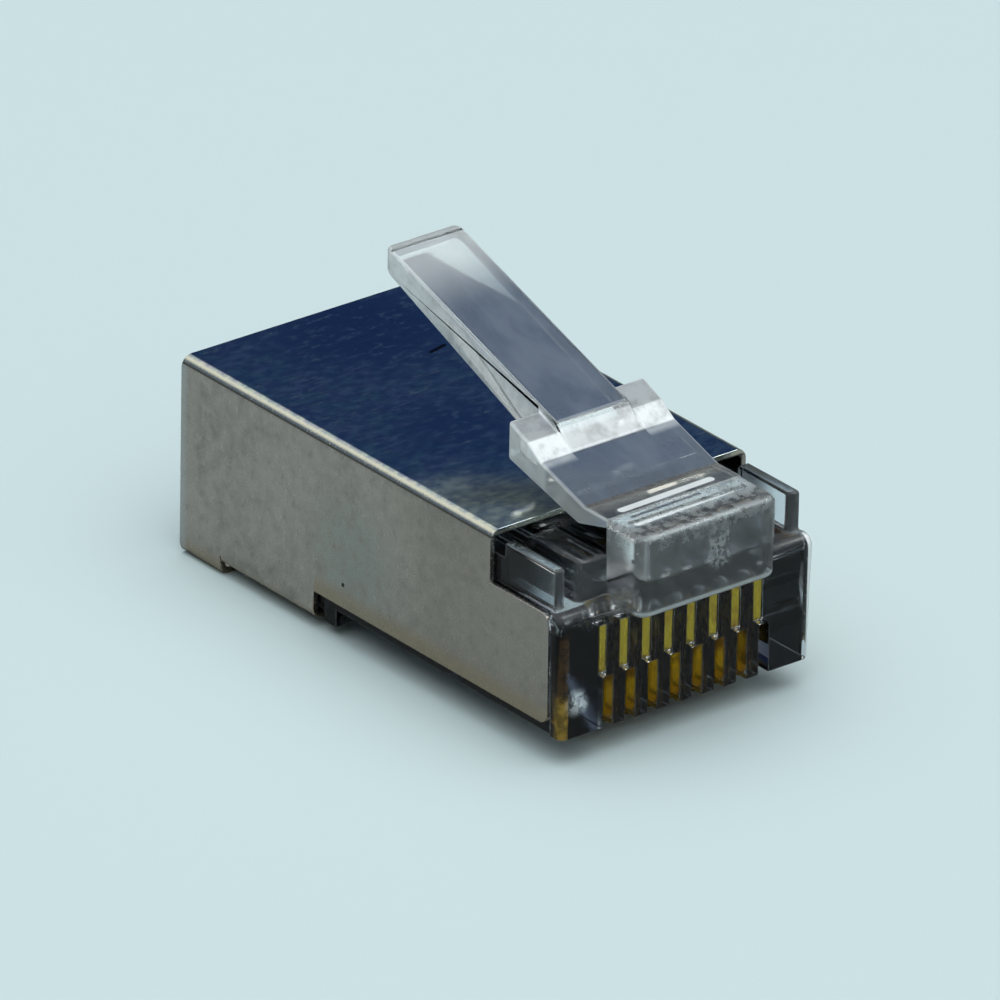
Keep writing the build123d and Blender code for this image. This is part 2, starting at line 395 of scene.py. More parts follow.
def cheek_colour(finish, y, z, forward, noise):
    """The shell's sides, from their middle tone to their edges."""
    mottle = noise["mottle"]
    bluish = finish.spot(*BLUISH_PLACE) * finish.fade(mottle, 0.30, 0.65)
    foot = CHEEK_BOTTOM * finish.below(y, *COLLAR_STEP)
    low_edge = finish.below(z - foot, *LOW_EDGE)
    rear_edge = finish.fade(y, *REAR_EDGE)
    plain = finish.blend(finish.fade(noise["cloud"], 0.3, 0.7), CHEEK_SHADE, CHEEK_LIGHT)
    return finish.layered(plain, [
        (finish.fade(mottle, 0.42, 0.62) * 0.6, PALE_MOTTLE),
        (finish.below(mottle, 0.33, 0.45) * 0.5, DARK_MOTTLE),
        (noise["flecks"] * 0.32, PALE_FLECK),
        # Painted shade: darker towards the nose.
        (finish.fade(forward, 0.4, 1.0) * 0.5, PAINTED_SHADE_FRONT),
        (bluish * 0.6, BLUISH_PATCH),
        (low_edge * (0.4 + 0.5 * mottle), STRAW_EDGE),
        # Painted highlight along the rear edge.
        (rear_edge * 0.8, PAINTED_REAR_HIGHLIGHT),
    ])


print("cheeks from", CHEEK_BOTTOM, "mm up")

# %% [markdown]
# ## The shell's roof
#
# The roof mirrors a dark part of the room, so its own colours only shade that mirror: teal and
# violet tints, painted shade in two places at the rear and in the middle, a slate front third,
# faint streaks and blotches. They are stronger than the cheeks' mottles, because a dark mirror
# hides faint ones. A picture of such a roof would carry one room's reflection to every side.

# %% Colours of the roof
ROOF_COOL = (0.36, 0.42, 0.44, 1.0)
ROOF_GREY = (0.46, 0.46, 0.46, 1.0)
TEAL_TINT = (0.26, 0.42, 0.42, 1.0)
VIOLET_TINT = (0.36, 0.34, 0.50, 1.0)
# Navy of the roof's painted shade.
PAINTED_SHADE_NAVY = (0.10, 0.17, 0.33, 1.0)
SLATE_FRONT = (0.44, 0.50, 0.48, 1.0)
PALE_STREAK = (0.60, 0.62, 0.62, 1.0)
NAVY_MOTTLE = (0.16, 0.22, 0.34, 1.0)
NAVY_BLOTCH = (0.14, 0.20, 0.33, 1.0)
PALE_BLOTCH = (0.60, 0.64, 0.58, 1.0)
# The two places of painted shade on the roof.
PAINTED_SHADE_REAR = ((0.9, 9.6, ROOF), 1.2, 4.5)
PAINTED_SHADE_MIDDLE = ((-1.6, 1.3, ROOF), 0.6, 3.0)
FRONT_THIRD = (0.62, 0.86)


def roof_colour(finish, forward, noise):
    """The shell's top, from its slow clouds to its blotches."""
    painted_shade_spots = finish.spot(*PAINTED_SHADE_REAR).most(finish.spot(*PAINTED_SHADE_MIDDLE) * 0.7)
    plain = finish.blend(finish.fade(noise["cloud"], 0.35, 0.65), ROOF_COOL, ROOF_GREY)
    return finish.layered(plain, [
        (finish.fade(noise["hue"], 0.42, 0.60) * 0.7, TEAL_TINT),
        (finish.below(noise["hue"], 0.40, 0.58) * 0.4, VIOLET_TINT),
        # Painted shade in two places.
        (painted_shade_spots * 0.9, PAINTED_SHADE_NAVY),
        (finish.fade(forward, *FRONT_THIRD), SLATE_FRONT),
        (finish.fade(noise["streaks"], 0.50, 0.75) * 0.25, PALE_STREAK),
        (finish.fade(noise["mottle"], 0.45, 0.65) * 0.5, NAVY_MOTTLE),
        (finish.fade(noise["blotch"], 0.46, 0.60) * 0.55, NAVY_BLOTCH),
        (finish.below(noise["blotch"], 0.34, 0.46) * 0.45, PALE_BLOTCH),
    ])


print("roof from", ROOF_COOL[:3], "to", ROOF_GREY[:3])

# %% [markdown]
# ## The whole shell
#
# Cheeks and roof meet in a fold, which has a painted highlight, a cream band, with a painted dark
# reflection as a thin line in it. The inside of the shell has painted shade, much darker than the
# outside, because little light gets in. A short dash on the roof and a dot on one cheek are marks
# from handling. One material covers all of this, and tells the places apart by height and width,
# so the shell stays one piece.

# %% Plated sheet
ROOF_FACE = (ROOF - 0.08, ROOF - 0.01)
FOLD_STARTS = (ROOF - 0.32, ROOF - 0.22)
CREASE_RISE = (ROOF - 0.29, ROOF - 0.27)
CREASE_FALL = (ROOF - 0.23, ROOF - 0.21)
ABOVE_FLAPS = (0.45, 0.62)
UNDER_ROOF = (ROOF - SHEET + 0.02, ROOF - SHEET + 0.1)
WITHIN_CHEEKS = (HALF_WIDTH - SHEET + 0.02, HALF_WIDTH - SHEET + 0.1)
FORWARD_SPAN = (-7.0, 7.0)
# Painted highlight on the fold.
PAINTED_FOLD_HIGHLIGHT = (0.70, 0.72, 0.62, 1.0)
# Painted dark reflection in the fold.
PAINTED_DARK_REFLECTION = (0.10, 0.09, 0.08, 1.0)
# Painted shade inside the shell.
PAINTED_INSIDE_SHADE = (0.05, 0.05, 0.06, 1.0)
MARK_BLACK = grey(0.01)
ROOF_DASH = ((1.63, 6.51, ROOF), (2.38, 6.69, ROOF), 0.16)
CHEEK_DOT = ((-HALF_WIDTH, 1.98, 2.48), 0.06, 0.04)


def plated_sheet():
    finish = Finish("plated_sheet")
    x, y, z = finish.axes()
    noise = sheet_patterns(finish)
    forward = finish.fade(-y, *FORWARD_SPAN)
    roof = finish.fade(z, *ROOF_FACE)
    inside = finish.band(z, ABOVE_FLAPS, UNDER_ROOF) * finish.below(x.size(), *WITHIN_CHEEKS)
    base = finish.layered(cheek_colour(finish, y, z, forward, noise), [
        # Painted highlight on the fold.
        (finish.fade(z, *FOLD_STARTS), PAINTED_FOLD_HIGHLIGHT),
        # Painted dark reflection: a thin line in the fold.
        (finish.band(z, CREASE_RISE, CREASE_FALL) * 0.8, PAINTED_DARK_REFLECTION),
        (roof, roof_colour(finish, forward, noise)),
        # Painted shade inside the shell.
        (inside * 0.85, PAINTED_INSIDE_SHADE),
        (finish.stroke(*ROOF_DASH).most(finish.spot(*CHEEK_DOT)), MARK_BLACK),
    ])
    dull_cheek = (1.0 - roof) * (0.08 + 0.10 * noise["mottle"] + 0.15 * noise["flecks"])
    rough = 0.11 + 0.04 * noise["grain"] + dull_cheek
    relief = finish.bump(noise["grain"], 0.004, 0.30)
    relief = finish.bump(noise["mottle"], 0.014, 0.30, relief)
    relief = finish.bump(noise["waves"], 0.10, 0.12, relief)
    relief = finish.bump(noise["scratches"], 0.008, 0.15, relief)
    return finish.surface(finish.principled(Base_Color=base, Metallic=1.0, Roughness=rough, Normal=relief))


plated = plated_sheet()
print("shell:", plated.name, len(plated.node_tree.nodes), "nodes")

# %% [markdown]
# ## Clear plastic
#
# Polycarbonate bends light strongly, so the housing and the latch are real solids with a
# transmissive shader, and what shows inside them is refraction. Thin surfaces with some
# transparency would be quicker to render, but nothing would bend or darken inside. A share of
# milk is mixed in, because moulded plastic scatters, and part of that white share is painted
# highlight. Some of the share has a colour: a painted blue-grey reflection in the latch, and
# painted gilt at the nose's left edge.

# %% Clear plastic with milk in it
CLEAR_IOR = 1.58
# White of the milk, and of the painted highlights.
MILK = (0.88, 0.93, 0.93, 1.0)
MILK_ROUGHNESS = 0.4
SHEEN_OF_PLASTIC = (0.34, 0.37, 0.42, 1.0)


def part_milky(finish, tint, milk, rough, relief, milk_colour):
    """A clear shader with a share of milky scattering, which also carries painted highlight."""
    shared = {"Normal": relief, "IOR": CLEAR_IOR, "Specular_Tint": SHEEN_OF_PLASTIC}
    clear = finish.principled(Base_Color=tint, Roughness=rough, Transmission_Weight=1.0, **shared)
    milky = finish.principled(Base_Color=milk_colour, Roughness=MILK_ROUGHNESS, **shared)
    mixed = finish.node("MixShader", {}, {"Fac": milk.least(1.0), "Shader": clear, "Shader_001": milky})
    return finish.surface(mixed)


def with_coloured(finish, milk, more, colour):
    """White milk with more of a painted colour: the whole share, and its mixed colour."""
    whole = milk + more
    return whole, finish.blend(more / whole, MILK, colour)


def clear_roughness(finish, flow):
    """Clear plastic is a little duller where it flowed slowly."""
    return 0.02 + 0.06 * finish.fade(flow, 0.45, 0.75)


print("plastic bends light by", CLEAR_IOR)

# %% [markdown]
# ## The latch's plastic
#
# The latch is thin and the milkiest piece: a frosted bar at its root, and sides, shoulders,
# ramp and a whiter tip whose white is partly milk and partly painted highlight. Its window and
# the top of its tail are a painted blue-grey reflection of the dark room. The masks are soft
# steps along the latch's own length, width and height, and the tail's top is found by its
# slope. Separate materials for the faces would show a hard line at each.

# %% Places on the latch
RAMP_STARTS = (-5.80, -5.70)
RAMP_ENDS = (-5.02, -4.92)
RAMP_FOOT = (9.45, 9.55)
SHOULDER_STARTS = (-6.2, -5.9)
SHOULDER_INSIDE = (1.62, 1.70)
TAIL_SIDE_INSIDE = (1.60, 1.64)
TAIL_SIDE_OUTSIDE = (1.7, 1.8)
TAIL_SIDE_STARTS = (-4.6, -3.9)
ARM_SIDE = (3.00, 3.06)
TIP_SPAN = (1.0, 4.2)
TAIL_SLOPE = 0.3265
TAIL_TOP = (11.65, 11.80)
TAIL_TOP_STARTS = (-4.85, -4.75)
TAIL_TOP_INSIDE = (1.45, 1.60)
WINDOW_STARTS = (-8.3, -8.1)
WINDOW_ENDS = (-5.85, -5.75)
WINDOW_FACE = (8.76, 8.80)
LATCH_BAR = ((-2.14, -9.21, 8.78), (1.96, -9.10, 8.78), 0.30)
# Painted reflection: the dark room's blue-grey in the latch.
PAINTED_BLUE_REFLECTION = (0.052, 0.086, 0.140, 1.0)
LATCH_TINT = (0.95, 0.98, 0.98, 1.0)
# The latch's blue-grey share is a painted reflection of the dark room.
print("the latch has haze from", WINDOW_STARTS[0], "mm")

# %% Plastic of the latch
def latch_painted_reflection(finish, x, y, z, flow, tip, arm_side):
    """The painted blue-grey reflection, in the window and on top of the tail."""
    tail_top = finish.fade(z - TAIL_SLOPE * y, *TAIL_TOP) * finish.fade(y, *TAIL_TOP_STARTS) * (1.0 - tip)
    window = finish.band(y, WINDOW_STARTS, WINDOW_ENDS) * finish.fade(z, *WINDOW_FACE)
    inside = 1.0 - finish.fade(x.size(), *TAIL_TOP_INSIDE) * tail_top
    # Painted reflection in the window and on top of the tail.
    painted_reflection_share = tail_top.most(window) * inside * (1.0 - arm_side)
    return painted_reflection_share * (0.62 + 0.15 * finish.fade(flow, 0.35, 0.65))


def clear_latch(name, least_milk):
    finish = Finish(name)
    x, y, z = finish.axes()
    flow = finish.noise(per_mm=0.8, roughness=0.5, offset=5.0, stretch=(1.0, 0.4, 1.0))
    patchy = finish.fade(finish.noise(per_mm=1.6, detail=4.0, roughness=0.6, offset=51.0), 0.30, 0.60)
    ramp = finish.band(y, RAMP_STARTS, RAMP_ENDS) * finish.fade(z, *RAMP_FOOT)
    shoulder = finish.fade(x.size(), *SHOULDER_INSIDE) * finish.fade(y, *SHOULDER_STARTS)
    tail_side = finish.band(x.size(), TAIL_SIDE_INSIDE, TAIL_SIDE_OUTSIDE)
    tail_side = tail_side * finish.fade(y, *TAIL_SIDE_STARTS)
    arm_side = finish.fade(x.size(), *ARM_SIDE)
    tip = finish.fade(y, *TIP_SPAN)
    # The white share is partly milk and partly painted highlight on the ramp, shoulders, sides and tip.
    milk = least_milk + 0.04 * finish.fade(flow, 0.40, 0.70) + ramp * (0.35 + 0.30 * patchy)
    milk = milk + shoulder * (0.20 + 0.12 * patchy) + tail_side * (0.25 + 0.15 * patchy) + arm_side * 0.25
    milk = milk + tip * 0.30 + finish.stroke(*LATCH_BAR) * 0.7
    milk, milk_colour = with_coloured(finish, milk, latch_painted_reflection(finish, x, y, z, flow, tip, arm_side), PAINTED_BLUE_REFLECTION)
    relief = finish.bump(flow, 0.012, 0.25)
    return part_milky(finish, LATCH_TINT, milk, clear_roughness(finish, flow), relief, milk_colour)


latch_plastic = clear_latch("clear_latch", least_milk=0.03)
# The edges' finish has more white: a painted highlight along them.
latch_edges = clear_latch("clear_latch_edges", least_milk=0.20)
print("latch:", latch_plastic.name, "and its edges")

# %% [markdown]
# ## The housing's plastic
#
# The housing is clear, with little milk but for a frosted bar, gate mark and lower edge on its
# root block, a white patch low on the nose, and a painted highlight on the rim at the nose's
# right. Its left corner and lip, its mouth under the roof and the strip below the cheeks have
# painted shade, as light is lost on the way there. At the nose's left edge the gold of the
# blades shows as a gilt strip. It is painted in, as a path of light through so many faces rarely
# renders cleanly.

# %% Places on the housing
NOSE_TIP = (9.9, 10.2)
NOSE_TOP = (5.2, 5.6)
BLOCK_FOOT = (5.4, 5.9)
BLOCK_REAR = (9.4, 9.7)
BLOCK_FRONT = (11.0, 11.3)
BLOCK_UPPER = (7.6, 8.6)
BLOCK_LOWER_EDGE = (5.75, 5.95)
RIM_INSIDE = (5.48, 5.54)
RIM_OUTSIDE = (5.70, 5.74)
LIP = (5.70, 5.80)
GILT_INSIDE = (5.34, 5.42)
GILT_OUTSIDE = (5.72, 5.78)
GILT_TOP = (5.0, 5.4)
GILT_BROWNS = (2.4, 3.0)
CORNER_INSIDE = (3.96, 4.04)
CHEEK_WALL = (5.30, 5.45)
CHEEK_FOOT = (1.6, 1.7)
BEHIND_NOSE = (-9.8, -9.5)
MOUTH_SPAN = (-9.2, -7.6)
GATES = [((0.4, -REAR, 7.2), 0.35, 0.35), ((0.4, -REAR, 7.9), 0.3, 0.3)]
NOSE_PATCH = ((-4.98, -10.4, 2.46), 0.2, 0.45)
BLOCK_BAR = ((-2.39, -10.43, 8.78), (1.92, -10.28, 8.78), 0.24)
BLOCK_SLOT = ((-2.20, -9.86, 8.78), (0.90, -9.78, 8.78), 0.14)
SPECKS = [((-1.04, -9.82, 8.78), 0.10, 0.05), ((-3.15, -11.12, 7.78), 0.07, 0.04)]
GILT_BROWN = (0.060, 0.030, 0.005, 1.0)
GILT_GOLD = (0.36, 0.22, 0.02, 1.0)
NOSE_TINT = (0.72, 0.77, 0.82, 1.0)
BLOCK_TINT = (0.80, 0.83, 0.85, 1.0)
# Painted shade at the mouth under the roof.
PAINTED_MOUTH_SHADE = (0.06, 0.06, 0.07, 1.0)
# Painted shade in the corner, at the lip and under the cheeks.
PAINTED_SHADE_TINT = (0.010, 0.012, 0.024, 1.0)
MARK_TINT = (0.02, 0.02, 0.03, 1.0)
print("the nose starts", NOSE_TIP[0], "mm forward")

# %% Plastic of the housing
def housing_masks(finish, x, y, z, mottle, fine):
    """Where the housing's milky places, painted highlight, gilt and painted shade are."""
    tip = finish.fade(-y, *NOSE_TIP)
    block = finish.fade(z, *BLOCK_FOOT) * finish.fade(-y, *BLOCK_REAR)
    gate = finish.spot(*GATES[0]).most(finish.spot(*GATES[1]))
    gilt = finish.band(-x, GILT_INSIDE, GILT_OUTSIDE) * tip * finish.below(z, *GILT_TOP)
    under_cheek = finish.fade(x.size(), *CHEEK_WALL) * finish.below(z, *CHEEK_FOOT)
    return {
        "block": block,
        "upper": block * finish.fade(z, *BLOCK_UPPER) * finish.fade(mottle, 0.36, 0.70),
        "lower edge": block * finish.fade(-y, *BLOCK_FRONT) * finish.below(z, *BLOCK_LOWER_EDGE),
        "gate": gate * finish.fade(fine, 0.35, 0.65) * finish.fade(mottle, 0.25, 0.65),
        "patch": finish.spot(*NOSE_PATCH) * finish.fade(mottle, 0.35, 0.6),
        # Painted highlight on the rim at the nose's right.
        "rim": finish.band(x, RIM_INSIDE, RIM_OUTSIDE) * tip,
        "lip": finish.fade(-x, *LIP) * finish.below(z, *NOSE_TOP),
        "gilt": gilt * (0.35 + 0.45 * finish.fade(mottle, 0.38, 0.62)),
        "corner": tip * finish.fade(-x, *CORNER_INSIDE) * finish.below(z, *NOSE_TOP),
        "under cheek": under_cheek * finish.fade(y, *BEHIND_NOSE),
        "mouth": finish.fade(y, *MOUTH_SPAN) * finish.fade(z, *BLOCK_FOOT),
    }


def housing_tint(finish, mask):
    """The clear share's colour, with its painted shade."""
    specks = finish.spot(*SPECKS[0]).most(finish.spot(*SPECKS[1]))
    # Painted shade in the corner, under the cheeks and at the lip.
    dark = (mask["corner"] * (1.0 - mask["patch"])).most(mask["under cheek"]).most(mask["lip"])
    return finish.layered(finish.blend(mask["block"], NOSE_TINT, BLOCK_TINT), [
        # Painted shade at the mouth under the roof.
        (mask["mouth"] * 0.9, PAINTED_MOUTH_SHADE),
        (dark, PAINTED_SHADE_TINT),
        (finish.stroke(*BLOCK_SLOT).most(specks), MARK_TINT),
    ])


def clear_housing(name, least_milk):
    finish = Finish(name)
    x, y, z = finish.axes()
    flow = finish.noise(per_mm=0.7, roughness=0.5, offset=15.0)
    mottle = finish.noise(per_mm=2.4, roughness=0.6, offset=25.0)
    fine = finish.noise(per_mm=7.0, detail=2.0, roughness=0.5, offset=35.0)
    mask = housing_masks(finish, x, y, z, mottle, fine)
    milk = least_milk + 0.05 * mask["block"] + 0.14 * mask["upper"] + 0.30 * mask["gate"]
    milk = milk + 0.45 * mask["lower edge"] + 0.35 * mask["patch"] + 0.65 * finish.stroke(*BLOCK_BAR)
    # Painted highlight on the rim at the nose's right.
    milk = (milk + mask["rim"]) * (1.0 - mask["lip"])
    gilt_colour = finish.blend(finish.below(z, *GILT_BROWNS), GILT_BROWN, GILT_GOLD)
    milk, milk_colour = with_coloured(finish, milk, mask["gilt"], gilt_colour)
    rough = clear_roughness(finish, flow) + 0.2 * mask["upper"] + 0.3 * mask["gate"]
    rough = rough + mask["block"] * 0.16 + mask["lip"] * 0.4
    relief = finish.bump(flow, 0.012, 0.25)
    relief = finish.bump(mottle, 0.012, 0.25, relief)
    relief = finish.bump(fine, 0.002, 0.25, relief)
    return part_milky(finish, housing_tint(finish, mask), milk, rough, relief, milk_colour)


housing_plastic = clear_housing("clear_housing", least_milk=0.003)
# The edges' finish has more white: a painted highlight along them.
housing_edges = clear_housing("clear_housing_edges", least_milk=0.06)
print("housing:", housing_plastic.name, "and its edges")

# %% [markdown]
# ## Gold plating
#
# The blades are stamped from sheet and flash plated. The gold is smooth, but its sheared edges
# are streaked along the blade's height, and its low part is browner, with patches of painted
# shade at its top, where the slot shades the blade. A metal with one gold colour would look new
# and flat, so noise stretched upwards makes the streaks, and slower noise the copper clouds and
# the patches of painted shade.

# %% Gold blades
STEP_OF_BLADE = (2.70, 2.95)
# Foot of the band of painted shade.
PAINTED_SHADE_FOOT = (2.0, 2.4)
DEEP_GOLD = (0.52, 0.30, 0.010, 1.0)
BRIGHT_GOLD = (0.82, 0.58, 0.035, 1.0)
COPPER_CLOUD = (0.42, 0.16, 0.01, 1.0)
BROWN_GOLD = (0.60, 0.26, 0.008, 1.0)
# Painted shade, where the slot shades the blade.
PAINTED_SLOT_SHADE = (0.10, 0.03, 0.008, 1.0)


def gold_plating():
    finish = Finish("gold_plating")
    z = finish.part(finish.place(), "Z")
    streak = finish.noise(per_mm=5.0, roughness=0.6, offset=2.0, stretch=(1.0, 1.0, 0.2))
    cloud = finish.noise(per_mm=1.4, detail=2.0, roughness=0.5, offset=12.0)
    low = finish.below(z, *STEP_OF_BLADE)
    # Patches of painted shade at the top of the blade's low part.
    painted_shade_patches = finish.fade(z, *PAINTED_SHADE_FOOT) * low * finish.fade(cloud, 0.35, 0.60)
    base = finish.layered(finish.blend(streak, DEEP_GOLD, BRIGHT_GOLD), [
        (finish.fade(cloud, 0.50, 0.75) * 0.6, COPPER_CLOUD),
        (low * 0.75, BROWN_GOLD),
        # Painted shade.
        (painted_shade_patches * 0.8, PAINTED_SLOT_SHADE),
    ])
    rough = 0.18 + 0.16 * streak
    relief = finish.bump(finish.noise(per_mm=12.0, detail=2.0), 0.004, 0.3)
    return finish.surface(finish.principled(Base_Color=base, Metallic=1.0, Roughness=rough, Normal=relief))


gold = gold_plating()
print("contacts:", gold.name)

# %% [markdown]
# ## Skins that can be rounded
#
# A solid's facets come from the frame as loose triangles, and a bevel needs whole faces. So a
# copy is welded, and its flat faces are joined again. The solid itself is left as it is.

# %% Weld a copy
WELD = 1e-7
FLAT = math.radians(0.5)


def welded_mesh(node):
    """A node's mesh as one skin, with its flat faces whole again."""
    mesh = frame["nodes"][node].data.copy()
    skin = bmesh.new()
    skin.from_mesh(mesh)
    bmesh.ops.remove_doubles(skin, verts=skin.verts, dist=WELD)
    bmesh.ops.dissolve_limit(skin, angle_limit=FLAT, verts=skin.verts, edges=skin.edges)
    for face in skin.faces:
        face.smooth = True
    skin.to_mesh(mesh)
    skin.free()
    mesh.materials.clear()
    return mesh


def plain_mesh(piece):
    """The mesh that a piece's modifiers make."""
    return bpy.data.meshes.new_from_object(piece.evaluated_get(bpy.context.evaluated_depsgraph_get()))


print("copies are welded within", WELD / MM, "mm")

# %% [markdown]
# ## Rounded edges
#
# Real moulded and folded edges are never sharp: the thin bright line along each edge is what
# makes a piece look real. A bevel of a few hundredths of a millimetre gives that line, and its
# faces take the piece's last finish, which on the plastic is the whiter one, a painted highlight
# along the edge. Held back by short edges the bevel would shrink everywhere, so it isn't held
# back, and the few corners that it throws out are put back on the unrounded skin.

# %% Bevel
BEVEL_SEGMENTS = 2
SHARP_EDGE = math.radians(20.0)
STRAY = 0.6
FLAT_WEIGHT = 80


def bevel(piece, width):
    """Rounds a piece's sharp edges by a width in mm and keeps its flat faces flat."""
    points = [vertex.co for vertex in piece.data.vertices]
    skin = BVHTree.FromPolygons(points, [face.vertices for face in piece.data.polygons])
    rounding = piece.modifiers.new("bevel", "BEVEL")
    rounding.width = width * MM
    rounding.segments = BEVEL_SEGMENTS
    rounding.limit_method = "ANGLE"
    rounding.angle_limit = SHARP_EDGE
    rounding.use_clamp_overlap = False
    # The bevel's faces take the last finish: on the plastic, a whiter painted edge highlight.
    rounding.material = len(piece.data.materials) - 1
    piece.data = plain_mesh(piece)
    piece.modifiers.remove(rounding)
    for vertex in piece.data.vertices:
        nearest, _, _, away = skin.find_nearest(vertex.co)
        if away > STRAY * width * MM:
            vertex.co = nearest
    flat = piece.modifiers.new("flat faces", "WEIGHTED_NORMAL")
    flat.mode = "FACE_AREA"
    flat.weight = FLAT_WEIGHT


print("edges sharper than", round(math.degrees(SHARP_EDGE)), "degrees are rounded")

# %% [markdown]
# ## Shell, housing and latch
#
# Each rounded copy stands in for its solid: it rides on the same body, so the latch's copy
# turns with the latch, and the solid is hidden. A bevel on the solid itself would change the
# part. The latch gets the widest rounding, as its edges are the softest on the real plug.

# %% Rounded copies
def stands_for(piece, *nodes):
    """The piece rides where its nodes ride, and hides them."""
    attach(piece, frame["nodes"][nodes[0]]["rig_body"])
    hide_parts(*nodes)


def rounded_copy(name, node, finishes, width):
    piece = bpy.data.objects.new(name, welded_mesh(node))
    bpy.context.scene.collection.objects.link(piece)
    for finish in finishes:
        piece.data.materials.append(finish)
    bevel(piece, width)
    stands_for(piece, node)
    print(name, len(piece.data.polygons), "faces")


rounded_copy("folded_shell", "shield", [plated], width=0.03)
rounded_copy("clear_body", "housing", [housing_plastic, housing_edges], width=0.035)
rounded_copy("sprung_latch", "latch", [latch_plastic, latch_edges], width=0.10)

# %% [markdown]
# ## The row of blades
#
# The eight blades are one stamping repeated at the pitch of the contacts, so a Geometry Nodes
# tree makes the row: a line of points, a blade on each, and a small random shift up or down,
# because the blades of a plug that hasn't been crimped don't stand quite level. A blade has some
# play in its slot, so it leans on one wall and bites into the plastic there. The first leans
# away from the nose's corner, and the air beside it, with the painted shade of the housing's
# corner, makes the corner look black.

# %% Tree for the row
def blade_row_tree():
    tree = bpy.data.node_groups.new("blade_row", "GeometryNodeTree")
    inputs = {
        "Blade": "Geometry", "Count": "Int", "First": "Float", "Pitch": "Float", "Lean": "Float",
        "Uneven": "Float", "Seed": "Int", "Finish": "Material",
    }
    for name, kind in inputs.items():
        tree.interface.new_socket(name=name, in_out="INPUT", socket_type="NodeSocket" + kind)
    tree.interface.new_socket(name="Row", in_out="OUTPUT", socket_type="NodeSocketGeometry")
    given = tree.nodes.new("NodeGroupInput").outputs

    def node(kind, settings, values, output=0):
        made = tree.nodes.new(kind)
        for name, value in settings.items():
            setattr(made, name, value)
        for name, value in values.items():
            if isinstance(value, bpy.types.NodeSocket):
                tree.links.new(value, made.inputs[name])
            else:
                made.inputs[name].default_value = value
        return made.outputs[output]

    start = node("ShaderNodeCombineXYZ", {}, {"X": given["First"]})
    step = node("ShaderNodeCombineXYZ", {}, {"X": given["Pitch"]})
    along = {"Count": given["Count"], "Start Location": start, "Offset": step}
    line = node("GeometryNodeMeshLine", {}, along)
    row = node("GeometryNodeInstanceOnPoints", {}, {"Points": line, "Instance": given["Blade"]})
    place = node("GeometryNodeInputIndex", {}, {})
    later = node("FunctionNodeCompare", {"data_type": "INT"}, {2: place, 3: 0})
    side = node("ShaderNodeMath", {"operation": "MULTIPLY_ADD"}, {0: later, 1: -2.0, 2: 1.0})
    aside = node("ShaderNodeMath", {"operation": "MULTIPLY"}, {0: side, 1: given["Lean"]})
    chance = node("FunctionNodeRandomValue", {}, {2: -1.0, 3: 1.0, "Seed": given["Seed"]}, 1)
    lift = node("ShaderNodeMath", {"operation": "MULTIPLY"}, {0: chance, 1: given["Uneven"]})
    shift = node("ShaderNodeCombineXYZ", {}, {"X": aside, "Z": lift})
    moved = node("GeometryNodeTranslateInstances", {}, {"Instances": row, "Translation": shift})
    real = node("GeometryNodeRealizeInstances", {}, {"Geometry": moved})
    dressed = node("GeometryNodeSetMaterial", {}, {"Geometry": real, "Material": given["Finish"]})
    tree.links.new(dressed, tree.nodes.new("NodeGroupOutput").inputs[0])
    return tree


row_tree = blade_row_tree()
print("tree:", row_tree.name, "with", len(row_tree.nodes), "nodes")

# %% [markdown]
# ## The blades in place
#
# The tree gets the first blade's mesh and the pitch between the first two. Its result is made
# a plain mesh and then rounded, because the export drops what is still an instance. Eight
# copies made by a loop would look the same, but a tree keeps the row's rule in one place.

# %% Row of blades
CONTACTS = sorted(node for node in frame["nodes"] if node.startswith("contact_"))
LEAN = 0.03
UNEVEN = 0.02
SEED = 7
BLADE_ROUNDING = 0.02


def middle_of(node):
    low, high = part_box(node)
    return (low[0] + high[0]) / 2


def blade_row():
    """The row as one plain mesh, in place of the eight nodes."""
    first, second = middle_of(CONTACTS[0]), middle_of(CONTACTS[1])
    mesh = welded_mesh(CONTACTS[0])
    for vertex in mesh.vertices:
        vertex.co.x -= first
    mesh.materials.append(gold)
    row = bpy.data.objects.new("contact_blades", mesh)
    bpy.context.scene.collection.objects.link(row)
    maker = row.modifiers.new("row", "NODES")
    maker.node_group = row_tree
    values = {
        "Count": len(CONTACTS), "First": first, "Pitch": second - first, "Lean": LEAN * MM,
        "Uneven": UNEVEN * MM, "Seed": SEED, "Finish": gold,
    }
    for item in row_tree.interface.items_tree:
        if item.in_out == "INPUT" and item.name in values:
            maker[item.identifier] = values[item.name]
    row.data = plain_mesh(row)
    row.modifiers.remove(maker)
    bevel(row, BLADE_ROUNDING)
    stands_for(row, *CONTACTS)
    return row


blades = blade_row()
sides = [round(vertex.co.x / MM, 3) for vertex in blades.data.vertices]
print(blades.name, len(blades.data.polygons), "faces from x", min(sides), "to", max(sides), "mm")

# %% [markdown]
# ## Floor
#
# The plug lies on a plain pale floor, far wider than the picture. Mirrors see it darker than
# the camera does, as they would a floor away from the lamps. Light that comes through the
# plastic sees the pale one. One large plane is enough, since its edge is never in view.

# %% Pale floor
FLOOR_HALF = 3.0
FLOOR_ROUGHNESS = 0.6
PALE = (0.600, 0.730, 0.735, 1.0)
MIRRORED_FLOOR = (0.262, 0.284, 0.266, 1.0)


def pale_floor():
    finish = Finish("pale_floor")
    mirrored = finish.node("LightPath", {}, {}, "Is Glossy Ray")
    through = finish.node("LightPath", {}, {}, "Is Transmission Ray")
    colour = finish.blend(mirrored * (1.0 - through), PALE, MIRRORED_FLOOR)
    return finish.surface(finish.principled(Base_Color=colour, Roughness=FLOOR_ROUGHNESS))


